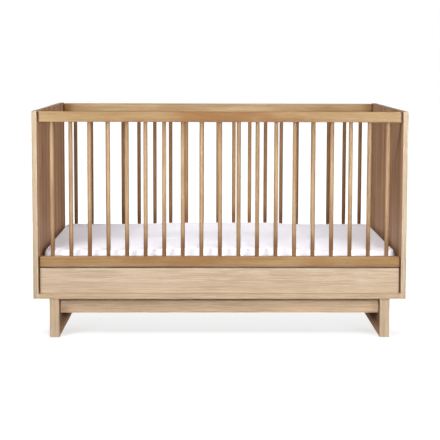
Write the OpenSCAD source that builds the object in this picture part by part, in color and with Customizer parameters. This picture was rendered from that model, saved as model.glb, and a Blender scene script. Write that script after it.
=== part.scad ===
// Baby crib: solid end panels, spindle sides, low front and rear panels,
// a bottom board on a sled base, and a height-adjustable mattress support.
// Origin on the floor under the middle of the crib, X along its length,
// -Y to the front, +Z up. All sizes in millimetres.

/* [Overall size] */
// Length over the end panels
crib_l = 1370; // [1366:1:1380]
// Depth over the end panels
crib_d = 790; // [788:1:800]
// Height of the end panels above the floor
crib_h = 836; // [800:1:900]

/* [Panels] */
// Thickness of the end panels
panel_t = 18; // [17:1:19]
// Thickness of the bottom board
board_t = 18; // [16:1:22]
// Thickness of the low front and rear panels
low_panel_t = 18; // [17:1:22]
// Height of the low front and rear panels
low_panel_h = 92; // [90:1:100]
// Gap between the bottom board and each low panel
low_reveal = 1; // [0.5:0.5:2]

/* [Rails and spindles] */
// Height of each rail
rail_h = 38; // [36:1:45]
// Thickness of each rail
rail_t = 25; // [22:1:25]
// Distance of the rails behind the end panels' edges
rail_set_back = 15; // [12:1:15]
// Distance of the top rails below the end panels' top edges
rail_drop = 2; // [0:1:10]
// Gap between each rail end and the end panel
end_gap = 6; // [4:1:8]
// Gap between each bottom rail and the low panel under it
reveal = 5; // [3:1:8]
// Radius of the rails' long edges
rail_edge_r = 2; // [1:0.5:4]
// Number of spindles in each side
spindle_count = 19; // [18:1:19]
// Distance from one spindle to the next
spindle_pitch = 68.4; // [66:0.1:68.4]
// Spindle diameter along its middle
spindle_d = 15.5; // [14.5:0.5:17]
// Spindle diameter where it meets a rail
spindle_end_d = 14.5; // [11:0.5:14.5]
// Length of the taper at each end of a spindle
taper_l = 45; // [20:5:100]

/* [Sled base] */
// Height of the bottom board's underside above the floor
base_h = 146; // [140:1:160]
// Thickness of each leg panel
leg_t = 35; // [30:1:35]
// Distance of the leg panels inside the end panels' outer faces
leg_inset = 58.5; // [40:0.5:80]
// Distance of the leg panels behind the board's edges
leg_set_back = 3; // [0:1:10]
// Distance of the stretchers behind the board's edges
stretcher_set_back = 50; // [45:1:60]
// Thickness of each stretcher
stretcher_t = 18; // [16:1:25]
// Height of each stretcher
stretcher_h = 63; // [60:1:90]
// Thickness of the floor glides
glide_t = 2; // [1.5:0.5:4]

/* [Mattress and support] */
// Length of the mattress in its sheet
mattress_l = 1311; // [1290:1:1311]
// Width of the mattress in its sheet
mattress_w = 692; // [680:1:692]
// Thickness of the mattress in its sheet
mattress_t = 130; // [100:1:150]
// Radius of the mattress's upright corners
mattress_r = 40; // [20:1:80]
// Height of the steel support frame
frame_h = 17; // [17:1:30]
// Number of slats in the support
slat_count = 13; // [11:1:14]
// Width of each slat
slat_w = 62; // [50:1:70]
// Rise from one mattress height to the next
height_step = 130; // [100:5:140]

/* [Hidden] */
$fn = 48;
overcut = 1;

// Places that the panels and rails share
half_l = crib_l / 2;
half_d = crib_d / 2;
inner_half_l = half_l - panel_t;
rail_half_l = inner_half_l - end_gap;
rail_y = half_d - rail_set_back - rail_t / 2;
board_top = base_h + board_t;
low_panel_y = half_d - rail_set_back - low_panel_t / 2;
low_panel_z = board_top + low_reveal;
bottom_rail_z = low_panel_z + low_panel_h + reveal;
bottom_rail_top = bottom_rail_z + rail_h;
top_rail_z = crib_h - rail_drop - rail_h;

// Spindle ends, glued into blind mortises
tenon_d = 9.5;
tenon_l = 14;
mortise_clearance = 0.05;
mortise_spare = 1;

// Connector bolts: flush head, shank and hexagon socket
bolt_d = 6;
bolt_l = 55;
bolt_head_d = 15;
bolt_head_t = 2.5;
socket_d = 4.6;
socket_depth = 3;
bore_clearance = 0.1;
head_clearance = 0.2;
bolt_hole_d = bolt_d + 2 * bore_clearance;
bolt_end_spare = 1;
spacer_inset = 2;

// Bolt places on the end panels, as [y, z]
board_bolt_ys = [-300, 0, 300];
low_panel_mid_z = low_panel_z + low_panel_h / 2;
low_bolt_zs = [low_panel_mid_z - 26, low_panel_mid_z + 26];
rail_mid_zs = [bottom_rail_z + rail_h / 2, top_rail_z + rail_h / 2];
rail_bolts = [for (side = [-1, 1], z = rail_mid_zs) [side * rail_y, z]];
low_bolts = [for (side = [-1, 1], z = low_bolt_zs) [side * low_panel_y, z]];
board_bolts = [for (y = board_bolt_ys) [y, base_h + board_t / 2]];
panel_bolts = concat(rail_bolts, low_bolts, board_bolts);
spacer_places = concat(rail_bolts, low_bolts);

// Sled base
leg_outer_x = half_l - leg_inset;
leg_mid_x = leg_outer_x - leg_t / 2;
leg_half_d = half_d - leg_set_back;
leg_bolt_ys = [-300, 0, 300];
stretcher_y = half_d - stretcher_set_back - stretcher_t / 2;
stretcher_z = base_h - stretcher_h;
stretcher_half_l = leg_outer_x - leg_t;
stretcher_bolt_zs = [stretcher_z + 20, base_h - 20];
glide_d = 22;
glide_inset = 45;
glide_nail_d = 2.5;
glide_nail_l = 12;

// Mattress support: a welded frame of steel angle that hooks over four bolts
support_half_l = inner_half_l - 1;
support_half_d = half_d - rail_set_back - rail_t - 5;
support_z = board_top + 2;
support_top = support_z + frame_h;
steel_t = 2.5;
flange_w = 25;
hook_bolt_y = 250;
hook_bolt_d = 8;
hook_head_d = 13;
hook_head_t = 3.5;
hook_clearance = 0.3;
hook_head_gap = 0.5;
hook_z = support_z + 7;
hook_flange_x = support_half_l - steel_t;
height_count = 3;
insert_d = 12;
insert_l = 13;
slat_t = frame_h - steel_t;
slat_half_l = support_half_d - steel_t - 1;
slat_end_gap = 8;
slat_span = 2 * (support_half_l - flange_w - slat_end_gap) - slat_w;
slat_pitch = slat_span / (slat_count - 1);

// Fitted sheet, tucked under the mattress all round
sheet_t = 0.8;
sheet_gap = 0.2;
hem_w = 60;

oak_veneer = "#d9c6a3";
rail_wood = "#c39a68";
pale_wood = "#e0cda6";
steel_grey = "#5a5c5e";
zinc = "#b4b4ac";
dark_nylon = "#2a2725";
white_cotton = "#f1f0f1";
ticking = "#dcdcd8";

function spindle_name(row, i) = str(row, "_spindle_", i < 10 ? "0" : "", i);
spindle_names = [for (row = ["front", "rear"], i = [1 : spindle_count]) spindle_name(row, i)];

// A block from its lowest corner to its highest
module block(low, high) {
    translate(low) cube(high - low);
}

// A round bar along X, from x = start to x = end
module rod_x(start, end, d) {
    translate([start, 0, 0]) rotate([0, 90, 0]) cylinder(h = end - start, d = d);
}

// A rectangle with four round corners, centred on the origin
module rounded_rectangle(w, h, r) {
    square([w - 2 * r, h], center = true);
    square([w, h - 2 * r], center = true);
    for (x = [-1, 1], y = [-1, 1]) {
        translate([x * (w / 2 - r), y * (h / 2 - r)]) circle(r = r);
    }
}

// A hexagon socket bolt along X: head flush with x = 0, shank towards -X
module connector_bolt() {
    difference() {
        union() {
            rod_x(-bolt_head_t, 0, bolt_head_d);
            rod_x(-bolt_head_t - bolt_l, -bolt_head_t, bolt_d);
        }
        translate([-socket_depth, 0, 0]) rotate([0, 90, 0])
            cylinder(h = socket_depth + overcut, d = socket_d, $fn = 6);
    }
}

// The hole that a connector bolt passes through, with a recess for its head
module connector_hole() {
    rod_x(-bolt_head_t, overcut, bolt_head_d + 2 * head_clearance);
    rod_x(-bolt_head_t - bolt_l - bolt_end_spare, 0, bolt_hole_d);
}

// Places its children at every connector bolt, each pointing along +X
module at_panel_bolts(end, places = panel_bolts) {
    for (p = places) {
        mirror([end < 0 ? 1 : 0, 0, 0]) translate([half_l, p.x, p.y]) children();
    }
}

module at_board_bolts() {
    for (side = [-1, 1], y = leg_bolt_ys) {
        translate([side * leg_mid_x, y, board_top]) rotate([0, -90, 0]) children();
    }
}

module at_stretcher_bolts() {
    for (end = [-1, 1], side = [-1, 1], z = stretcher_bolt_zs) {
        mirror([end < 0 ? 1 : 0, 0, 0])
            translate([leg_outer_x, side * stretcher_y, z]) children();
    }
}

// Places its children at the hook heights on one end panel's inner face
module at_heights(end, levels) {
    for (side = [-1, 1], level = levels) {
        mirror([end < 0 ? 1 : 0, 0, 0])
            translate([inner_half_l, side * hook_bolt_y, hook_z + level * height_step])
                children();
    }
}

// End panel; end is 1 for the right one and -1 for the left one
module end_panel(end) {
    color(oak_veneer) difference() {
        mirror([end < 0 ? 1 : 0, 0, 0])
            block([inner_half_l, -half_d, base_h], [half_l, half_d, crib_h]);
        at_panel_bolts(end) connector_hole();
        at_heights(end, [0 : height_count - 1])
            rod_x(-overcut, insert_l + bolt_end_spare, insert_d + 2 * mortise_clearance);
    }
}

module bottom_board() {
    color(oak_veneer) difference() {
        block([-inner_half_l, -half_d, base_h], [inner_half_l, half_d, board_top]);
        for (end = [-1, 1]) at_panel_bolts(end, board_bolts) connector_hole();
        at_board_bolts() connector_hole();
    }
}

// A rail with its long edges rounded, lowest at z
module rail_bar(z) {
    translate([-rail_half_l, 0, z + rail_h / 2]) rotate([90, 0, 90])
        linear_extrude(2 * rail_half_l) rounded_rectangle(rail_t, rail_h, rail_edge_r);
}

function spindle_x(i) = (i - (spindle_count + 1) / 2) * spindle_pitch;

// Blind mortises for one rail; z is their middle height
module mortises(z) {
    depth = 2 * (tenon_l + mortise_spare);
    for (i = [1 : spindle_count]) {
        translate([spindle_x(i), 0, z - depth / 2])
            cylinder(h = depth, d = tenon_d + 2 * mortise_clearance);
    }
}

// side is -1 at the front and 1 at the rear
module top_rail(side) {
    color(rail_wood) difference() {
        translate([0, side * rail_y, 0]) difference() {
            rail_bar(top_rail_z);
            mortises(top_rail_z);
        }
        for (end = [-1, 1]) at_panel_bolts(end, rail_bolts) connector_hole();
    }
}

module bottom_rail(side) {
    color(rail_wood) difference() {
        translate([0, side * rail_y, 0]) difference() {
            rail_bar(bottom_rail_z);
            mortises(bottom_rail_top);
        }
        for (end = [-1, 1]) at_panel_bolts(end, rail_bolts) connector_hole();
    }
}

module low_panel(side) {
    y = side * low_panel_y;
    color(oak_veneer) difference() {
        block([-rail_half_l, y - low_panel_t / 2, low_panel_z],
              [rail_half_l, y + low_panel_t / 2, low_panel_z + low_panel_h]);
        for (end = [-1, 1]) at_panel_bolts(end, low_bolts) connector_hole();
    }
}

// A turned spindle that tapers at both ends, with a round tenon on each
module spindle(i, side) {
    mid_l = top_rail_z - bottom_rail_top - 2 * taper_l;
    color(rail_wood) translate([spindle_x(i), side * rail_y, bottom_rail_top]) {
        translate([0, 0, -tenon_l]) cylinder(h = tenon_l, d = tenon_d);
        cylinder(h = taper_l, d1 = spindle_end_d, d2 = spindle_d);
        translate([0, 0, taper_l]) cylinder(h = mid_l, d = spindle_d);
        translate([0, 0, taper_l + mid_l])
            cylinder(h = taper_l, d1 = spindle_d, d2 = spindle_end_d);
        translate([0, 0, mid_l + 2 * taper_l]) cylinder(h = tenon_l, d = tenon_d);
    }
}

module leg(end) {
    x = end * leg_mid_x;
    color(oak_veneer) difference() {
        block([x - leg_t / 2, -leg_half_d, glide_t], [x + leg_t / 2, leg_half_d, base_h]);
        at_board_bolts() connector_hole();
        at_stretcher_bolts() connector_hole();
        at_glides() glide_nail(bore_clearance);
    }
}

module stretcher(side) {
    y = side * stretcher_y;
    color(oak_veneer) difference() {
        block([-stretcher_half_l, y - stretcher_t / 2, stretcher_z],
              [stretcher_half_l, y + stretcher_t / 2, base_h]);
        at_stretcher_bolts() connector_hole();
    }
}

module at_glides() {
    for (x = [-leg_mid_x, leg_mid_x], y = [-1, 1] * (leg_half_d - glide_inset)) {
        translate([x, y, 0]) children();
    }
}

module glide_nail(clearance) {
    translate([0, 0, glide_t / 2])
        cylinder(h = glide_t / 2 + glide_nail_l + clearance, d = glide_nail_d + 2 * clearance);
}

module floor_glides() {
    color(dark_nylon) at_glides() {
        cylinder(h = glide_t, d = glide_d);
        glide_nail(0);
    }
}

module connector_bolts() {
    color(steel_grey) {
        for (end = [-1, 1]) at_panel_bolts(end) connector_bolt();
        at_board_bolts() connector_bolt();
        at_stretcher_bolts() connector_bolt();
    }
}

// A plate in the gap at the end of a section centred on y and z, set a little inside it
module spacer_plate(y, z, width, height) {
    half_w = width / 2 - spacer_inset;
    half_h = height / 2 - spacer_inset;
    block([rail_half_l, y - half_w, z - half_h], [inner_half_l, y + half_w, z + half_h]);
}

// Plates that hold the rails and low panels off the end panels
module frame_spacers() {
    color(dark_nylon) for (end = [-1, 1]) difference() {
        mirror([end < 0 ? 1 : 0, 0, 0]) {
            for (p = rail_bolts) spacer_plate(p.x, p.y, rail_t, rail_h);
            for (side = [-1, 1]) {
                spacer_plate(side * low_panel_y, low_panel_mid_z, low_panel_t, low_panel_h);
            }
        }
        at_panel_bolts(end, spacer_places) connector_hole();
    }
}

module height_inserts() {
    color(zinc) for (end = [-1, 1]) {
        at_heights(end, [0 : height_count - 1]) difference() {
            rod_x(0, insert_l, insert_d);
            rod_x(-overcut, insert_l + overcut, hook_bolt_d + 2 * bore_clearance);
        }
    }
}

// The four bolts that the mattress support hangs on, at its lowest height
module support_bolts() {
    head_x = hook_flange_x - inner_half_l - hook_head_gap;
    color(steel_grey) for (end = [-1, 1]) {
        at_heights(end, [0]) difference() {
            union() {
                rod_x(head_x - hook_head_t, head_x, hook_head_d);
                rod_x(head_x, insert_l, hook_bolt_d);
            }
            translate([head_x - hook_head_t - overcut, 0, 0]) rotate([0, 90, 0])
                cylinder(h = socket_depth + overcut, d = socket_d, $fn = 6);
        }
    }
}

// A hook slot, open at the bottom and round at the top
module hook_slot() {
    d = hook_bolt_d + 2 * hook_clearance;
    length = 2 * steel_t + 2 * overcut;
    translate([-length, 0, 0]) rod_x(0, length, d);
    block([-length, -d / 2, support_z - hook_z - overcut], [0, d / 2, 0]);
}

module support_frame() {
    color(steel_grey) for (end = [0, 1]) mirror([end, 0, 0]) difference() {
        union() {
            block([hook_flange_x, -support_half_d, support_z],
                  [support_half_l, support_half_d, support_top]);
            block([support_half_l - flange_w, -support_half_d, support_top - steel_t],
                  [support_half_l, support_half_d, support_top]);
            for (side = [0, 1]) mirror([0, side, 0]) {
                block([0, support_half_d - steel_t, support_z],
                      [support_half_l, support_half_d, support_top]);
                block([0, support_half_d - flange_w, support_z],
                      [support_half_l, support_half_d, support_z + steel_t]);
            }
        }
        at_heights(1, [0]) hook_slot();
    }
}

module support_slats() {
    color(pale_wood) for (i = [0 : slat_count - 1]) {
        x = -slat_span / 2 + i * slat_pitch;
        block([x - slat_w / 2, -slat_half_l, support_z + steel_t],
              [x + slat_w / 2, slat_half_l, support_z + steel_t + slat_t]);
    }
}

// A block the shape of the mattress, drawn in on all sides by inset
module mattress_block(inset) {
    translate([0, 0, support_top + inset]) linear_extrude(mattress_t - 2 * inset)
        rounded_rectangle(mattress_l - 2 * inset, mattress_w - 2 * inset, mattress_r - inset);
}

module mattress() {
    color(ticking) mattress_block(sheet_t + sheet_gap);
}

module fitted_sheet() {
    color(white_cotton) difference() {
        mattress_block(0);
        mattress_block(sheet_t);
        translate([0, 0, support_top - overcut]) linear_extrude(sheet_t + 2 * overcut)
            rounded_rectangle(mattress_l - 2 * hem_w, mattress_w - 2 * hem_w, mattress_r);
    }
}

end_panel(-1);  // left_end_panel
end_panel(1);  // right_end_panel
bottom_board();
top_rail(-1);  // front_top_rail
bottom_rail(-1);  // front_bottom_rail
low_panel(-1);  // front_low_panel
top_rail(1);  // rear_top_rail
bottom_rail(1);  // rear_bottom_rail
low_panel(1);  // rear_low_panel
leg(-1);  // left_leg
leg(1);  // right_leg
stretcher(-1);  // front_stretcher
stretcher(1);  // rear_stretcher
floor_glides();
connector_bolts();
frame_spacers();
height_inserts();
support_bolts();
support_frame();
support_slats();
mattress();
fitted_sheet();
for (i = [1 : spindle_count]) {
    spindle(i, -1);
    spindle(i, 1);
}
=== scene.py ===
"""Looks of the baby crib: materials, the soft mattress and its sheet, light and camera.

Everything is in metres, in the CAD model's frame: X along the crib, -Y to the front, +Z up.
"""

import math

import bmesh
import bpy
import numpy as np
from mathutils import Euler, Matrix, Quaternion, Vector, noise


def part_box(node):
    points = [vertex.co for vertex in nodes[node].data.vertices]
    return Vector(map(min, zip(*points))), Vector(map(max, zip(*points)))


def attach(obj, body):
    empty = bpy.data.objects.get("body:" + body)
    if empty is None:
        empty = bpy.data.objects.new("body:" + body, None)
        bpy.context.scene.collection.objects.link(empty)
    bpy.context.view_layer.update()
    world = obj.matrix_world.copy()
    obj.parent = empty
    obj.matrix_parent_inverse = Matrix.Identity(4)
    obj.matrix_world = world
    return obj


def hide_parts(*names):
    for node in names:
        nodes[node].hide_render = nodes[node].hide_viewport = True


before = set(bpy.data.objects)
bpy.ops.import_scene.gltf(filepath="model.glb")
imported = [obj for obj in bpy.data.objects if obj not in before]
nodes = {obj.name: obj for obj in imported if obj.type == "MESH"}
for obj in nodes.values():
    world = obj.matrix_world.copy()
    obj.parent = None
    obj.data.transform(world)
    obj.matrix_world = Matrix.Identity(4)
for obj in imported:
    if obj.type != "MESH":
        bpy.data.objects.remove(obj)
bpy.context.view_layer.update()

ALONG_X, ALONG_Y, ALONG_Z = 0, 1, 2


# ---------------------------------------------------------------- camera, floor and light

CAMERA_PLACE = (-0.0505, -4.3916, 1.0232)
CAMERA_PITCH_DOWN = 0.0854
CAMERA_TURN_RIGHT = 0.0124
CAMERA_ROLL = 0.0026
CAMERA_LENS_MM = 90.2
CAMERA_SENSOR_MM = 36
CAMERA_SHIFT_Y = -0.15


def make_camera():
    """The photo's viewpoint: in front of the crib, a little above it, turned and tilted slightly."""
    data = bpy.data.cameras.new("camera")
    data.lens = CAMERA_LENS_MM
    data.sensor_width = CAMERA_SENSOR_MM
    data.shift_y = CAMERA_SHIFT_Y
    data.dof.use_dof = False
    camera = bpy.data.objects.new("camera", data)
    bpy.context.scene.collection.objects.link(camera)
    camera.location = CAMERA_PLACE
    level = Euler((math.pi / 2 - CAMERA_PITCH_DOWN, 0, -CAMERA_TURN_RIGHT)).to_quaternion()
    camera.rotation_mode = "QUATERNION"
    camera.rotation_quaternion = level @ Quaternion((0, 0, 1), CAMERA_ROLL)
    bpy.context.scene.camera = camera


def add_light(name, data, place, target):
    """Puts a light's data at that place, aimed at the target and hidden from the camera."""
    light = bpy.data.objects.new(name, data)
    bpy.context.scene.collection.objects.link(light)
    light.location = place
    light.rotation_mode = "QUATERNION"
    light.rotation_quaternion = (Vector(place) - Vector(target)).to_track_quat("Z", "Y")
    light.visible_camera = False
    return light


def add_softbox(name, irradiance, place, target, width, height):
    """A rectangular softbox. Irradiance 1 at the target shows a white surface as white."""
    data = bpy.data.lights.new(name, "AREA")
    data.shape = "RECTANGLE"
    data.size = width
    data.size_y = height
    distance = (Vector(place) - Vector(target)).length
    data.energy = irradiance * (math.pi * distance) ** 2
    return add_light(name, data, place, target)


SUN_DISTANCE = 3


def add_sun(name, irradiance, azimuth, elevation, softness, colour=(1, 1, 1)):
    """A sun from that azimuth (0 is the front, 90 the right) and elevation, in degrees."""
    data = bpy.data.lights.new(name, "SUN")
    data.energy = irradiance * math.pi
    data.angle = math.radians(softness)
    data.color = colour
    turn, rise = math.radians(azimuth), math.radians(elevation)
    level = SUN_DISTANCE * math.cos(rise)
    place = (level * math.sin(turn), -level * math.cos(turn), SUN_DISTANCE * math.sin(rise))
    return add_light(name, data, place, (0, 0, 0))


def make_world(background, ambient):
    """A white background for the camera, and a dimmer even light for everything else."""
    world = bpy.data.worlds.new("studio")
    bpy.context.scene.world = world
    world.use_nodes = True
    tree = world.node_tree
    tree.nodes.clear()
    output = tree.nodes.new("ShaderNodeOutputWorld")
    seen = tree.nodes.new("ShaderNodeBackground")
    lit = tree.nodes.new("ShaderNodeBackground")
    path = tree.nodes.new("ShaderNodeLightPath")
    mix = tree.nodes.new("ShaderNodeMixShader")
    seen.inputs["Strength"].default_value = background
    seen.inputs["Color"].default_value = (1, 1, 1, 1)
    lit.inputs["Strength"].default_value = ambient
    lit.inputs["Color"].default_value = (1.0, 0.985, 0.965, 1)
    tree.links.new(path.outputs["Is Camera Ray"], mix.inputs["Fac"])
    tree.links.new(lit.outputs[0], mix.inputs[1])
    tree.links.new(seen.outputs[0], mix.inputs[2])
    tree.links.new(mix.outputs[0], output.inputs["Surface"])


FLOOR_SIZE = 40
FLOOR_GREY = (0.36, 0.36, 0.36)
# Floor glow along Y: painted light under the crib and a band of painted shade just in front of it.
FLOOR_PAINTED_GLOW = ((-2.60, 1.0), (-1.20, 0.86), (-0.60, 0.70), (-0.42, 0.60), (-0.31, 0.56),
              (-0.24, 0.70), (-0.12, 0.82), (0.0, 0.93), (0.40, 0.88), (2.60, 1.0))


def make_floor():
    """A pale floor with a little glow of its own, so that the crib's shade on it stays soft. The glow is
    painted light and shade: lighter under the crib, a band of painted shade just in front of it, and
    dimmer near the crib than far off.
    """
    bpy.ops.mesh.primitive_plane_add(size=FLOOR_SIZE, location=(0, 0, 0))
    floor = bpy.context.object
    floor.name = "floor"
    material, tree, shader = new_material("pale_floor")
    shader.inputs["Base Color"].default_value = (*FLOOR_GREY, 1)
    shader.inputs["Roughness"].default_value = 0.9
    shader.inputs["Specular IOR Level"].default_value = 0.1
    shader.inputs["Emission Color"].default_value = (1, 1, 1, 1)
    # Painted light and shade on the floor, set by place.
    painted_floor_shading = tone_along(tree, ALONG_Y, FLOOR_PAINTED_GLOW)
    beside_crib = remap(tree, absolute(tree, object_axis(tree, ALONG_X)), 0.62, 0.84)
    reach = add_node(tree, "ShaderNodeVectorMath", operation="LENGTH")
    place = add_node(tree, "ShaderNodeTexCoord")
    tree.links.new(place.outputs["Object"], reach.inputs[0])
    around = remap(tree, reach.outputs["Value"], 1.0, 2.6, 0.80, 1.0)
    glow = blend_colours(tree, beside_crib, painted_floor_shading, around)
    tree.links.new(glow, shader.inputs["Emission Strength"])
    floor.data.materials.append(material)
    floor.visible_diffuse = False
    floor.visible_glossy = False
    floor.visible_shadow = False


FILLS = (("back", 1.30, 180), ("left", 0.50, -90), ("right", 0.62, 90))


def make_studio():
    """Plain soft studio light: boxes in front, an overhead light and level fills behind."""
    bpy.context.scene.view_settings.view_transform = "Standard"
    make_camera()
    make_floor()
    make_world(background=1.0, ambient=0.04)
    middle = (0, 0, 0.40)
    centre = (0, -0.2, 0.45)
    add_softbox("left_window", 0.50, (-2.0, -2.0, 2.9), middle, 0.9, 0.9)
    add_softbox("right_window", 0.32, (2.0, -2.0, 2.9), middle, 0.9, 0.9)
    add_softbox("left_box", 0.38, (-1.40, -1.80, 1.00), centre, 0.6, 0.9)
    add_softbox("right_box", 0.33, (1.40, -1.80, 1.00), centre, 0.6, 0.9)
    add_softbox("front_key", 0.66, (0.4, -3.0, 1.02), middle, 0.8, 0.60)
    add_sun("overhead", 0.31, azimuth=0, elevation=82, softness=50, colour=(0.98, 0.98, 1.05))
    for name, irradiance, azimuth in FILLS:
        fill = add_sun(name + "_fill", irradiance, azimuth, elevation=-1, softness=2)
        fill.visible_glossy = False


# ---------------------------------------------------------------- material helpers

def new_material(name):
    """A node material, as the material, its node tree and its shader."""
    material = bpy.data.materials.new(name)
    material.use_nodes = True
    return material, material.node_tree, material.node_tree.nodes["Principled BSDF"]


def add_node(tree, kind, **settings):
    node = tree.nodes.new(kind)
    for key, value in settings.items():
        setattr(node, key, value)
    return node


def scaled(colour, *factors):
    """A colour times one factor, or times one factor for each channel."""
    factors = factors if len(factors) == 3 else factors * 3
    return tuple(c * f for c, f in zip(colour, factors))


def coordinate(tree, kind, axis):
    """One axis of the object's own coordinates or normals, as a value output."""
    coordinates = add_node(tree, "ShaderNodeTexCoord")
    split = add_node(tree, "ShaderNodeSeparateXYZ")
    tree.links.new(coordinates.outputs[kind], split.inputs[0])
    return split.outputs[axis]


def object_axis(tree, axis):
    """One object coordinate, in metres."""
    return coordinate(tree, "Object", axis)


def absolute(tree, value):
    node = add_node(tree, "ShaderNodeMath", operation="ABSOLUTE")
    tree.links.new(value, node.inputs[0])
    return node.outputs[0]


def facing(tree, axis):
    """1 where the surface faces straight along the axis, either way, and 0 across it."""
    return absolute(tree, coordinate(tree, "Normal", axis))


def grain_space(tree, along, length, width, seed=0.0, warp=None):
    """Object coordinates divided by a cell of that length along the grain and width across it."""
    coordinates = add_node(tree, "ShaderNodeTexCoord")
    mapping = add_node(tree, "ShaderNodeMapping")
    scale = [1 / width] * 3
    scale[along] = 1 / length
    mapping.inputs["Scale"].default_value = scale
    mapping.inputs["Location"].default_value = (seed, seed * 1.7, seed * 2.3)
    source = coordinates.outputs["Object"]
    if warp is not None:
        shift = add_node(tree, "ShaderNodeVectorMath", operation="ADD")
        tree.links.new(source, shift.inputs[0])
        tree.links.new(warp, shift.inputs[1])
        source = shift.outputs[0]
    tree.links.new(source, mapping.inputs["Vector"])
    return mapping.outputs["Vector"]


def noise_value(tree, vector, detail, roughness):
    texture = add_node(tree, "ShaderNodeTexNoise")
    texture.inputs["Scale"].default_value = 1.0
    texture.inputs["Detail"].default_value = detail
    texture.inputs["Roughness"].default_value = roughness
    tree.links.new(vector, texture.inputs["Vector"])
    return texture.outputs["Fac"]


def remap(tree, value, low, high, to_low=0.0, to_high=1.0):
    """Eases a value from one range into another."""
    node = add_node(tree, "ShaderNodeMapRange", interpolation_type="SMOOTHSTEP")
    node.inputs["From Min"].default_value = low
    node.inputs["From Max"].default_value = high
    node.inputs["To Min"].default_value = to_low
    node.inputs["To Max"].default_value = to_high
    tree.links.new(value, node.inputs["Value"])
    return node.outputs["Result"]


def mix_colours(tree, node, first, second):
    """Feeds two colours, each an output or an RGB triple, to a mix node."""
    for socket, colour in ((node.inputs["A"], first), (node.inputs["B"], second)):
        if isinstance(colour, tuple):
            socket.default_value = (*colour, 1)
        else:
            tree.links.new(colour, socket)
    return node.outputs["Result"]


def blend_colours(tree, factor, first, second):
    """Goes from the first colour to the second by a factor that is an output."""
    node = add_node(tree, "ShaderNodeMix", data_type="RGBA")
    tree.links.new(factor, node.inputs["Factor"])
    return mix_colours(tree, node, first, second)


def multiply_colours(tree, first, second):
    node = add_node(tree, "ShaderNodeMix", data_type="RGBA", blend_type="MULTIPLY")
    node.inputs["Factor"].default_value = 1.0
    return mix_colours(tree, node, first, second)


def add_values(tree, first, second, weight):
    """The first value plus the second one times a weight."""
    node = add_node(tree, "ShaderNodeMath", operation="MULTIPLY_ADD")
    tree.links.new(second, node.inputs[0])
    node.inputs[1].default_value = weight
    tree.links.new(first, node.inputs[2])
    return node.outputs[0]


def add_bump(tree, shader, height, distance):
    """Relief from a height value; distance is how high 1 stands, in metres."""
    bump = add_node(tree, "ShaderNodeBump")
    bump.inputs["Distance"].default_value = distance
    bump.inputs["Strength"].default_value = 1.0
    tree.links.new(height, bump.inputs["Height"])
    tree.links.new(bump.outputs["Normal"], shader.inputs["Normal"])


# ---------------------------------------------------------------- wood

def wavering(tree, along, amount):
    """A gentle sideways drift of the grain, as a vector output in metres."""
    texture = add_node(tree, "ShaderNodeTexNoise")
    texture.inputs["Scale"].default_value = 1.0
    texture.inputs["Detail"].default_value = 2.0
    tree.links.new(grain_space(tree, along, 0.45, 0.22, 3.1), texture.inputs["Vector"])
    centred = add_node(tree, "ShaderNodeVectorMath", operation="SUBTRACT")
    centred.inputs[1].default_value = (0.5, 0.5, 0.5)
    tree.links.new(texture.outputs["Color"], centred.inputs[0])
    drift = add_node(tree, "ShaderNodeVectorMath", operation="SCALE")
    drift.inputs["Scale"].default_value = amount
    tree.links.new(centred.outputs[0], drift.inputs[0])
    return drift.outputs[0]


def face_and_edge_tone(tree, edge, inside, outside, middle):
    """The board's edge banding, and the veneer on its inner and outer sides, the inner one darkened with
    painted shade.
    """
    outer = remap(tree, absolute(tree, object_axis(tree, ALONG_X)), middle - 0.004, middle + 0.004)
    leaves = noise_value(tree, grain_space(tree, ALONG_Z, 1.8, 0.042, 21.0), 2, 0.6)
    stripes = remap(tree, leaves, 0.40, 0.60)
    striped = blend_colours(tree, stripes, scaled(inside, 1.14), scaled(inside, 0.84))
    # The inner veneer carries painted shade: darker and browner than the outer one.
    veneer = blend_colours(tree, outer, striped, outside)
    sideways = remap(tree, facing(tree, ALONG_X), 0.6, 0.9)
    return blend_colours(tree, sideways, edge, veneer)


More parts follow.
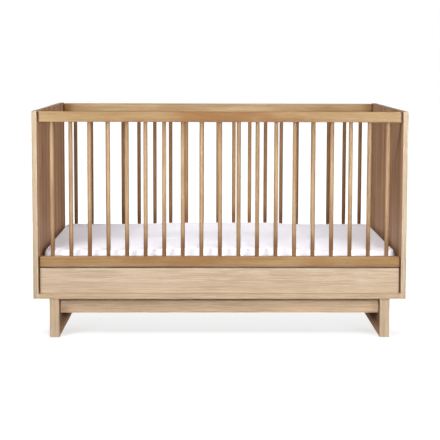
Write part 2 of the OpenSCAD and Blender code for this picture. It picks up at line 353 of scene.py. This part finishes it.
def make_oak(name, along, tone, seed, faces=None, figure=1.0, leaf_width=0.055):
    """Matt lacquered oak veneer: straight fine streaks and short open pores along the grain.

    Faces gives the inner veneer, darkened with painted shade, and the outer veneer of a board
    and its middle X; the tone is then its edge banding. A higher figure sets the broad leaves
    of the veneer further apart in tone.
    """
    material, tree, shader = new_material(name)
    warp = wavering(tree, along, 0.009)
    leaves = noise_value(tree, grain_space(tree, along, 2.5, leaf_width, seed + 3), 1, 0.4)
    bands = noise_value(tree, grain_space(tree, along, 0.9, 0.010, seed, warp), 3, 0.5)
    streaks = noise_value(tree, grain_space(tree, along, 0.12, 0.0036, seed + 5, warp), 2, 0.6)
    fibres = noise_value(tree, grain_space(tree, along, 0.05, 0.0020, seed + 7, warp), 2, 0.6)
    clouds = noise_value(tree, grain_space(tree, along, 0.35, 0.10, seed + 9), 2, 0.5)
    pores = noise_value(tree, grain_space(tree, along, 0.011, 0.0006, seed + 2, warp), 1, 0.5)

    base = tone
    if faces is not None:
        base = face_and_edge_tone(tree, tone, *faces)
    pale_leaf = (1 + 0.07 * figure,) * 3
    dark_leaf = (1 - 0.06 * figure, 1 - 0.08 * figure, 1 - 0.10 * figure)
    shade = blend_colours(tree, remap(tree, leaves, 0.38, 0.62), pale_leaf, dark_leaf)
    band_shade = remap(tree, bands, 0.42, 0.62, 0.0, 0.55)
    shade = blend_colours(tree, band_shade, shade, (0.90, 0.865, 0.82))
    streak_shade = remap(tree, streaks, 0.44, 0.62, 0.0, 0.85)
    shade = blend_colours(tree, streak_shade, shade, (0.72, 0.66, 0.58))
    fibre_shade = remap(tree, fibres, 0.35, 0.7, 0.0, 0.40)
    shade = blend_colours(tree, fibre_shade, shade, (0.78, 0.72, 0.65))
    cloud_shade = remap(tree, clouds, 0.35, 0.7, 0.0, 0.5)
    shade = blend_colours(tree, cloud_shade, shade, (1.02, 0.98, 0.96))
    pore_shade = remap(tree, pores, 0.61, 0.72, 0.0, 0.40)
    shade = blend_colours(tree, pore_shade, shade, (0.48, 0.40, 0.32))
    tree.links.new(multiply_colours(tree, base, shade), shader.inputs["Base Color"])

    tree.links.new(remap(tree, fibres, 0.3, 0.7, 0.50, 0.64), shader.inputs["Roughness"])
    shader.inputs["Specular IOR Level"].default_value = 0.30
    relief = add_values(tree, fibres, remap(tree, pores, 0.60, 0.70), -1.6)
    add_bump(tree, shader, relief, 0.00012)
    return material


def tone_along(tree, axis, stops):
    """A value that changes smoothly along one axis, close to its (metres, value) stops."""
    low, high = stops[0][0], stops[-1][0]
    place = add_node(tree, "ShaderNodeMapRange")
    place.inputs["From Min"].default_value = low
    place.inputs["From Max"].default_value = high
    tree.links.new(object_axis(tree, axis), place.inputs["Value"])
    ramp = add_node(tree, "ShaderNodeValToRGB")
    ramp.color_ramp.interpolation = "B_SPLINE"
    elements = ramp.color_ramp.elements
    while len(elements) < len(stops):
        elements.new(0.5)
    for element, (where, value) in zip(elements, stops):
        element.position = (where - low) / (high - low)
        element.color = (value, value, value, 1)
    tree.links.new(place.outputs["Result"], ramp.inputs["Fac"])
    return ramp.outputs["Color"]


def make_beech(name, along, light, deep, seed, stops):
    """Warm lacquered solid wood: tone that drifts along the piece, fine fibres and small flecks."""
    material, tree, shader = new_material(name)
    warp = wavering(tree, along, 0.012)
    drift = noise_value(tree, grain_space(tree, along, 0.16, 0.035, seed, warp), 3, 0.55)
    bands = noise_value(tree, grain_space(tree, along, 0.40, 0.0075, seed + 4, warp), 3, 0.6)
    fibres = noise_value(tree, grain_space(tree, along, 0.05, 0.0013, seed + 7, warp), 2, 0.6)
    flecks = noise_value(tree, grain_space(tree, along, 0.0045, 0.0007, seed + 1, warp), 1, 0.5)

    # The stops can hold painted shade: the spindles' ends and the rear rail's corners.
    steady = tone_along(tree, along, stops)
    lightness = add_values(tree, steady, remap(tree, drift, 0.3, 0.7, -1.0, 1.0), 0.16)
    colour = blend_colours(tree, lightness, deep, light)
    band_shade = remap(tree, bands, 0.40, 0.68, 0.0, 0.40)
    colour = blend_colours(tree, band_shade, colour, scaled(deep, 0.82, 0.78, 0.72))
    fibre_shade = remap(tree, fibres, 0.35, 0.75, 0.0, 0.25)
    colour = blend_colours(tree, fibre_shade, colour, scaled(deep, 0.72, 0.66, 0.6))
    fleck_shade = remap(tree, flecks, 0.63, 0.72, 0.0, 0.40)
    colour = blend_colours(tree, fleck_shade, colour, scaled(deep, 0.45))
    tree.links.new(colour, shader.inputs["Base Color"])

    tree.links.new(remap(tree, fibres, 0.3, 0.7, 0.46, 0.60), shader.inputs["Roughness"])
    shader.inputs["Specular IOR Level"].default_value = 0.22
    add_bump(tree, shader, add_values(tree, fibres, bands, 0.8), 0.00008)
    return material


# ---------------------------------------------------------------- metal, plastic and cloth

def make_painted_steel(name, colour, roughness):
    """Powder-coated steel with a fine orange-peel texture."""
    material, tree, shader = new_material(name)
    peel = noise_value(tree, grain_space(tree, ALONG_X, 0.0011, 0.0011), 2, 0.5)
    patches = noise_value(tree, grain_space(tree, ALONG_X, 0.02, 0.02, 4.0), 3, 0.5)
    tone = blend_colours(tree, patches, scaled(colour, 0.85), scaled(colour, 1.15))
    tree.links.new(tone, shader.inputs["Base Color"])
    rough = remap(tree, peel, 0.3, 0.7, roughness - 0.06, roughness + 0.06)
    tree.links.new(rough, shader.inputs["Roughness"])
    shader.inputs["Metallic"].default_value = 0.3
    add_bump(tree, shader, peel, 0.00008)
    return material


def make_zinc(name):
    """Zinc-plated steel with a mottled, slightly brushed surface."""
    material, tree, shader = new_material(name)
    mottle = noise_value(tree, grain_space(tree, ALONG_X, 0.002, 0.002), 3, 0.6)
    tone = blend_colours(tree, mottle, (0.24, 0.20, 0.13), (0.36, 0.31, 0.21))
    tree.links.new(tone, shader.inputs["Base Color"])
    tree.links.new(remap(tree, mottle, 0.3, 0.7, 0.28, 0.45), shader.inputs["Roughness"])
    shader.inputs["Metallic"].default_value = 0.9
    add_bump(tree, shader, mottle, 0.00004)
    return material


def make_nylon(name):
    """Matt dark brown moulded plastic with a fine spark-eroded grain."""
    material, tree, shader = new_material(name)
    grain = noise_value(tree, grain_space(tree, ALONG_X, 0.0006, 0.0006), 2, 0.6)
    tone = blend_colours(tree, grain, (0.075, 0.036, 0.018), (0.110, 0.055, 0.028))
    tree.links.new(tone, shader.inputs["Base Color"])
    tree.links.new(remap(tree, grain, 0.3, 0.7, 0.55, 0.72), shader.inputs["Roughness"])
    shader.inputs["Specular IOR Level"].default_value = 0.2
    add_bump(tree, shader, grain, 0.00005)
    return material


def make_cotton(name, colour, shade, side, thread, seed):
    """Woven cotton: crossing threads as bump, soft tonal drift, a fine sheen and painted shade on the
    sides.
    """
    material, tree, shader = new_material(name)
    float_length = thread * 14
    warp_threads = noise_value(tree, grain_space(tree, ALONG_X, float_length, thread, seed), 1, 0.5)
    weft_threads = noise_value(tree, grain_space(tree, ALONG_Y, float_length, thread, seed + 3), 1, 0.5)
    weave = add_values(tree, warp_threads, weft_threads, 1.0)
    clouds = noise_value(tree, grain_space(tree, ALONG_X, 0.13, 0.13, seed + 6), 3, 0.5)
    tone = blend_colours(tree, remap(tree, clouds, 0.3, 0.7), colour, shade)
    thread_shade = remap(tree, weave, 0.8, 1.3, 0.0, 0.10)
    tone = blend_colours(tree, thread_shade, tone, scaled(shade, 0.8))
    # Faces that don't face up take the darker side colour: painted shade on the cloth's sides.
    level = remap(tree, facing(tree, ALONG_Z), 0.72, 0.995)
    tone = blend_colours(tree, level, side, tone)
    tree.links.new(tone, shader.inputs["Base Color"])
    tree.links.new(remap(tree, weave, 0.7, 1.3, 0.82, 0.95), shader.inputs["Roughness"])
    shader.inputs["Specular IOR Level"].default_value = 0.2
    shader.inputs["Sheen Weight"].default_value = 0.12
    shader.inputs["Sheen Roughness"].default_value = 0.5
    add_bump(tree, shader, weave, 0.00010)
    return material


# ---------------------------------------------------------------- the CAD pieces

WELD_DISTANCE = 0.00001
SHARP_ANGLE = math.radians(50)
BOARD_EDGE = 0.0012
STRIP_EDGE = 0.0010
SLAT_EDGE = 0.0015


def dress(names, material, edge=0.0):
    """Gives CAD nodes a material, and eases their sharp edges by that many metres."""
    for name in names:
        piece = nodes[name]
        piece.data.materials.clear()
        piece.data.materials.append(material)
        if edge > 0:
            weld = piece.modifiers.new("weld", "WELD")
            weld.merge_threshold = WELD_DISTANCE
            bevel = piece.modifiers.new("eased_edges", "BEVEL")
            bevel.width = edge
            bevel.segments = 2
            bevel.limit_method = "ANGLE"
            bevel.angle_limit = SHARP_ANGLE
            bevel.harden_normals = True


def names_with(ending):
    return sorted(name for name in nodes if name.endswith(ending))


# Board tones
EDGE_OAK = (0.420, 0.346, 0.252)
LEG_OAK = (0.422, 0.321, 0.223)
LEVEL_OAK = (0.437, 0.344, 0.250)
BOARD_OAK = (0.415, 0.313, 0.213)
# The stretchers' oak is lighter than the other boards': painted light making up for the shade under the
# bottom board.
BASE_OAK_PAINTED_LIGHT = (0.59, 0.43, 0.295)
SLAT_PINE = (0.66, 0.50, 0.30)
# Inner veneer of the end panels: painted shade, darker and browner than the outer veneer.
INNER_VENEER_PAINTED_SHADE = (0.437, 0.261, 0.157)
# Inner veneer of the legs: painted shade under the bottom board, darker still.
LEG_INNER_PAINTED_SHADE = (0.36, 0.22, 0.13)
OUTER_VENEER = (0.59, 0.44, 0.295)

# Rail tones, with how light each rail is along X from 0, deep, to 1, light
LIGHT_BEECH = (0.360, 0.266, 0.138)
LOW_BEECH = (0.368, 0.252, 0.127)
REAR_BEECH = (0.450, 0.325, 0.178)
DEEP_BEECH = (0.210, 0.099, 0.031)
TOP_RAIL_TONE = ((-0.66, 0.95), (-0.50, 0.60), (-0.34, 0.25), (-0.22, 0.60), (-0.13, 0.0),
                 (0.05, 0.05), (0.22, 0.25), (0.42, 0.50), (0.66, 0.85))
BOTTOM_RAIL_TONE = ((-0.66, 0.50), (-0.46, 0.65), (-0.30, 0.30), (-0.08, 0.25), (0.06, 0.40),
                    (0.25, 0.70), (0.36, 0.20), (0.50, 0.60), (0.66, 0.30))
# The rear rail's last few centimetres drop to the deep tone: painted shade in its corners by the end
# panels.
REAR_RAIL_TONE_AND_CORNER_SHADE = ((-0.66, 0.0), (-0.64, 0.0), (-0.615, 0.65), (-0.52, 0.85), (-0.36, 0.75),
                  (-0.10, 0.80), (0.08, 1.00), (0.20, 0.75), (0.45, 0.55), (0.615, 0.55),
                  (0.64, 0.0), (0.66, 0.0))

# Spindle tones, what each zone of a row is multiplied by, and how light they are along Z. The darker rear
# row, its darker outer zones and the dark spindle ends are painted shade.
FRONT_SPINDLE = (0.446, 0.311, 0.178)
# The rear row is darker than the front row: painted shade.
SHADED_REAR_SPINDLE = (0.340, 0.225, 0.112)
DEEP_SPINDLE = (0.165, 0.076, 0.030)
FRONT_ZONES = ((1, 1, 1),) * 3
# The rear row is lighter in the middle and darker towards the ends: painted shadow of the end panels.
REAR_ZONES_PAINTED_SHADE = ((1.12, 1.10, 1.04), (0.78, 0.68, 0.60), (0.66, 0.55, 0.48))
# Each spindle is deep at its foot and darker at its top: painted shade next to the rails.
SPINDLE_TONE_AND_END_SHADE = ((0.30, 0.0), (0.345, 0.0), (0.40, 0.70), (0.55, 0.82), (0.72, 0.80), (0.80, 0.40))
ZONE_WIDTH = 0.17


def middle_x(name):
    low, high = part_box(name)
    return (low[0] + high[0]) / 2


def spindle_zone(name):
    """0 for the middle spindles of a row, then 1 and 2 outwards."""
    return min(2, int(abs(middle_x(name)) / ZONE_WIDTH))


def dress_boards():
    # The inner faces of the end panels and legs carry painted shade.
    panel_faces = (INNER_VENEER_PAINTED_SHADE, OUTER_VENEER, middle_x("right_end_panel"))
    leg_faces = (LEG_INNER_PAINTED_SHADE, OUTER_VENEER, middle_x("right_leg"))
    panel_oak = make_oak("oak_upright", ALONG_Z, EDGE_OAK, 1.0, panel_faces, figure=3.0, leaf_width=0.036)
    leg_oak = make_oak("oak_leg", ALONG_Z, LEG_OAK, 6.0, leg_faces)
    dress(names_with("end_panel"), panel_oak, BOARD_EDGE)
    dress(names_with("_leg"), leg_oak, BOARD_EDGE)
    dress(names_with("low_panel"), make_oak("oak_level", ALONG_X, LEVEL_OAK, 2.0), STRIP_EDGE)
    dress(["bottom_board"], make_oak("oak_board", ALONG_X, BOARD_OAK, 3.0), STRIP_EDGE)
    dress(names_with("_stretcher"), make_oak("oak_base", ALONG_X, BASE_OAK_PAINTED_LIGHT, 15.0), STRIP_EDGE)
    dress(["support_slats"], make_oak("pine_slats", ALONG_Y, SLAT_PINE, 12.0), SLAT_EDGE)


def dress_rails_and_spindles():
    for ending, light, seed, tones in (("front_top_rail", LIGHT_BEECH, 4.0, TOP_RAIL_TONE),
                                       ("rear_top_rail", REAR_BEECH, 9.0, REAR_RAIL_TONE_AND_CORNER_SHADE),
                                       ("bottom_rail", LOW_BEECH, 7.0, BOTTOM_RAIL_TONE)):
        beech = make_beech("beech_" + ending, ALONG_X, light, DEEP_BEECH, seed, tones)
        dress(names_with(ending), beech)
    # The rear row's darker tone and darker outer zones are painted shade.
    for row, light, shares in (("front_spindle", FRONT_SPINDLE, FRONT_ZONES),
                               ("rear_spindle", SHADED_REAR_SPINDLE, REAR_ZONES_PAINTED_SHADE)):
        for zone, share in enumerate(shares):
            beech = make_beech(f"beech_{row}_{zone}", ALONG_Z, scaled(light, *share),
                               scaled(DEEP_SPINDLE, *share), 8.0 + zone, SPINDLE_TONE_AND_END_SHADE)
            in_zone = [name for name in nodes if name.startswith(row) and spindle_zone(name) == zone]
            dress(in_zone, beech)


def dress_hardware():
    steel = make_painted_steel("dark_steel", (0.055, 0.055, 0.058), 0.45)
    dress(["connector_bolts", "support_bolts", "support_frame"], steel)
    dress(["height_inserts"], make_zinc("zinc"))
    # The spacers sit in the gaps between the rails and the end panels; their dark brown is the plastic's
    # own and also stands in for the shade in those gaps.
    dress(["frame_spacers", "floor_glides"], make_nylon("dark_nylon"))


# ---------------------------------------------------------------- the mattress and its sheet

VOXEL = 0.011
CORNER_RADIUS = 0.036
RIM_RADIUS = 0.016
CROWN = 0.0030
FULLNESS = 0.0078
SPARE_HEIGHT = 0.012
SWELL_PRESSURE = 4
SWELL_FRAMES = 20
SWELL_CAP = 0.012
QUILT_PITCH = 0.14
QUILT_WIDTH = 0.006
QUILT_DEPTH = 0.002
SHEET_GAP = 0.0004
SHEET_THICKNESS = 0.0006
HEM_UNDERNEATH = 0.060
FACES_DOWN = -0.7


def smoothstep(low, high, value):
    share = np.clip((value - low) / (high - low), 0, 1)
    return share * share * (3 - 2 * share)


def mattress_room():
    """Half the core's length and width, and the heights of its underside and plain top."""
    low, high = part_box("mattress")
    return high[0], high[1], low[2], high[2]


def top_height(x, y):
    """The top of a soft mattress: a low crown, fuller around the middle of its length."""
    _, half_y, _, plain_top = mattress_room()
    fuller = smoothstep(-0.42, -0.10, x) * (1 - smoothstep(0.18, 0.38, x))
    crown = CROWN * (1 - (y / half_y) ** 2)
    return plain_top + 0.0010 + FULLNESS * fuller + crown


def rounded_block(name, half_x, half_y, low_z, high_z, corner, rim):
    """A closed block with rounded upright corners and a smaller rounding round top and bottom."""
    block = bmesh.new()
    bmesh.ops.create_cube(block, size=2)
    for vertex in block.verts:
        vertex.co.x *= half_x
        vertex.co.y *= half_y
        vertex.co.z = high_z if vertex.co.z > 0 else low_z
    upright = [e for e in block.edges if abs(e.verts[0].co.z - e.verts[1].co.z) > rim]
    bmesh.ops.bevel(block, geom=upright, offset=corner, segments=8, profile=0.5, affect="EDGES")
    level = [e for e in block.edges if abs(e.verts[0].co.z - e.verts[1].co.z) < rim
             and len(e.link_faces) == 2 and e.calc_face_angle() > 1]
    bmesh.ops.bevel(block, geom=level, offset=rim, segments=5, profile=0.5, affect="EDGES")
    mesh = bpy.data.meshes.new(name)
    block.to_mesh(mesh)
    block.free()
    piece = bpy.data.objects.new(name, mesh)
    bpy.context.scene.collection.objects.link(piece)
    return piece


def bake_modifiers(piece):
    """Applies every modifier on the piece."""
    seen = piece.evaluated_get(bpy.context.evaluated_depsgraph_get())
    mesh = bpy.data.meshes.new_from_object(seen)
    piece.modifiers.clear()
    piece.data = mesh


def add_modifier(piece, kind, **settings):
    modifier = piece.modifiers.new(kind.lower(), kind)
    for key, value in settings.items():
        setattr(modifier, key, value)
    return modifier


def read_points(mesh):
    points = np.empty(len(mesh.vertices) * 3)
    mesh.vertices.foreach_get("co", points)
    return points.reshape(-1, 3)


def read_normals(mesh):
    normals = np.empty(len(mesh.vertices) * 3)
    mesh.vertices.foreach_get("normal", normals)
    return normals.reshape(-1, 3)


def write_points(mesh, points):
    mesh.vertices.foreach_set("co", points.ravel())
    mesh.update()


def swell(piece, pressure, frames, cap):
    """Inflates the piece as cloth, then keeps each point within cap of where it began."""
    before = read_points(piece.data)
    cloth = add_modifier(piece, "CLOTH")
    cloth.settings.use_pressure = True
    cloth.settings.uniform_pressure_force = pressure
    cloth.settings.effector_weights.gravity = 0
    cloth.settings.quality = 5
    cloth.point_cache.frame_start = 1
    cloth.point_cache.frame_end = frames
    for step in range(1, frames + 1):
        bpy.context.scene.frame_set(step)
    bake_modifiers(piece)
    bpy.context.scene.frame_set(1)
    move = read_points(piece.data) - before
    length = np.linalg.norm(move, axis=1, keepdims=True)
    write_points(piece.data, before + move * np.minimum(1, cap / np.maximum(length, 1e-9)))


def seat_in_room(points):
    """Fits the swollen foam to its full length and width, flat underneath and crowned on top."""
    half_x, half_y, low_z, _ = mattress_room()
    x, y, z = points.T
    x = x * half_x / np.abs(x).max()
    y = y * half_y / np.abs(y).max()
    z = np.clip(z, low_z, top_height(x, y))
    return np.stack((x, y, z), axis=1)


def quilt_underside(points):
    """Sewn diamond channels in the underside."""
    _, _, low_z, _ = mattress_room()
    x, y, z = points.T
    rise = 0.0
    for slant in (1, -1):
        across = (x + slant * y) / QUILT_PITCH
        groove = np.exp(-((across - np.round(across)) * QUILT_PITCH / QUILT_WIDTH) ** 2)
        rise = np.maximum(rise, QUILT_DEPTH * groove)
    under = 1 - smoothstep(low_z, low_z + 0.002, z)
    return np.stack((x, y, z + rise * under), axis=1)


def finish_cloth(piece, material):
    """Smooth shading, its material and slot, and its place on the moving mattress."""
    for polygon in piece.data.polygons:
        polygon.use_smooth = True
    piece.data.materials.clear()
    piece.data.materials.append(material)
    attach(piece, "mattress")


def make_mattress_core(material):
    """The foam: a rounded block, swollen as cloth and then fitted to its room in the crib."""
    half_x, half_y, low_z, high_z = mattress_room()
    core = rounded_block("mattress_core", half_x, half_y, low_z, high_z + SPARE_HEIGHT,
                         CORNER_RADIUS, RIM_RADIUS)
    add_modifier(core, "REMESH", mode="VOXEL", voxel_size=VOXEL)
    bake_modifiers(core)
    swell(core, SWELL_PRESSURE, SWELL_FRAMES, SWELL_CAP)
    write_points(core.data, seat_in_room(read_points(core.data)))
    add_modifier(core, "SMOOTH", iterations=3, factor=0.5)
    bake_modifiers(core)
    add_modifier(core, "SUBSURF", levels=1, render_levels=1)
    bake_modifiers(core)
    write_points(core.data, quilt_underside(seat_in_room(read_points(core.data))))
    finish_cloth(core, material)
    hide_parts("mattress")
    return core


def noise_at(x, y, z):
    return np.array([noise.noise(Vector((px, py, z))) for px, py in zip(x, y)])


def sheet_slack(points, normals):
    """How far the sheet stands off the core: gathers at the corners and soft creases on top."""
    half_x, half_y, low_z, high_z = mattress_room()
    x, y, z = points.T
    from_end, from_side = half_x - np.abs(x), half_y - np.abs(y)
    beside = from_end - from_side
    near_corner = np.exp(-(beside / 0.075) ** 2)
    upright = 1 - smoothstep(0.3, 0.8, np.abs(normals[:, 2]))
    lower = smoothstep(high_z, low_z + 0.02, z)
    gathers = 0.0011 * (1 + np.sin(beside * 330 + 9 * (z - low_z))) * near_corner * upright * lower
    facing_up = smoothstep(0.6, 0.95, normals[:, 2])
    to_corner = np.hypot(from_end, from_side)
    fan = np.arctan2(from_side, from_end)
    fade = np.exp(-(to_corner / 0.13) ** 2) * smoothstep(0.0, 0.05, to_corner)
    folds = 0.0007 * (1 + np.sin(fan * 26)) * fade
    waves = noise_at(x * 3.1, y * 6.0, 0.7)
    ripples = noise_at(x * 9.0 + y * 4.0, y * 17.0, 4.2)
    near_front = smoothstep(-0.05, -0.32, y)
    creases = 0.0008 * (1 + waves) + 0.0010 * np.clip(ripples + 0.1, 0, 1) * near_front
    return gathers + (folds + creases) * facing_up


def open_underneath(mesh):
    """Takes away the sheet's underside inside its hem."""
    half_x, half_y, low_z, _ = mattress_room()
    skin = bmesh.new()
    skin.from_mesh(mesh)
    hidden = []
    for face in skin.faces:
        middle = face.calc_center_median()
        inside = abs(middle.x) < half_x - HEM_UNDERNEATH and abs(middle.y) < half_y - HEM_UNDERNEATH
        if inside and middle.z < low_z + 0.01:
            hidden.append(face)
    bmesh.ops.delete(skin, geom=hidden, context="FACES")
    skin.to_mesh(mesh)
    skin.free()


def make_sheet(core, material):
    """A fitted sheet: a thin skin just off the foam, turned under it by its hem."""
    sheet = bpy.data.objects.new("sheet", core.data.copy())
    bpy.context.scene.collection.objects.link(sheet)
    _, _, low_z, _ = mattress_room()
    normals = read_normals(sheet.data)
    points = read_points(sheet.data)
    under = normals[:, 2] < FACES_DOWN
    points[under, 2] = low_z
    stand_off = SHEET_GAP + sheet_slack(points, normals)
    points = points + normals * stand_off[:, None]
    points[under, 2] = low_z - SHEET_GAP
    write_points(sheet.data, points)
    open_underneath(sheet.data)
    add_modifier(sheet, "SOLIDIFY", thickness=SHEET_THICKNESS, offset=0, use_rim=True)
    bake_modifiers(sheet)
    finish_cloth(sheet, material)
    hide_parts("fitted_sheet")


def make_bedding():
    # The third colour of each cloth is painted shade for its sides.
    ticking = make_cotton("ticking", (0.72, 0.72, 0.69), (0.68, 0.68, 0.66), (0.66, 0.66, 0.64),
                          thread=0.0009, seed=2.0)
    percale = make_cotton("percale", (0.91, 0.905, 0.96), (0.89, 0.885, 0.94), (0.70, 0.69, 0.73),
                          thread=0.0006, seed=5.0)
    core = make_mattress_core(ticking)
    make_sheet(core, percale)


make_studio()
dress_boards()
dress_rails_and_spindles()
dress_hardware()
make_bedding()
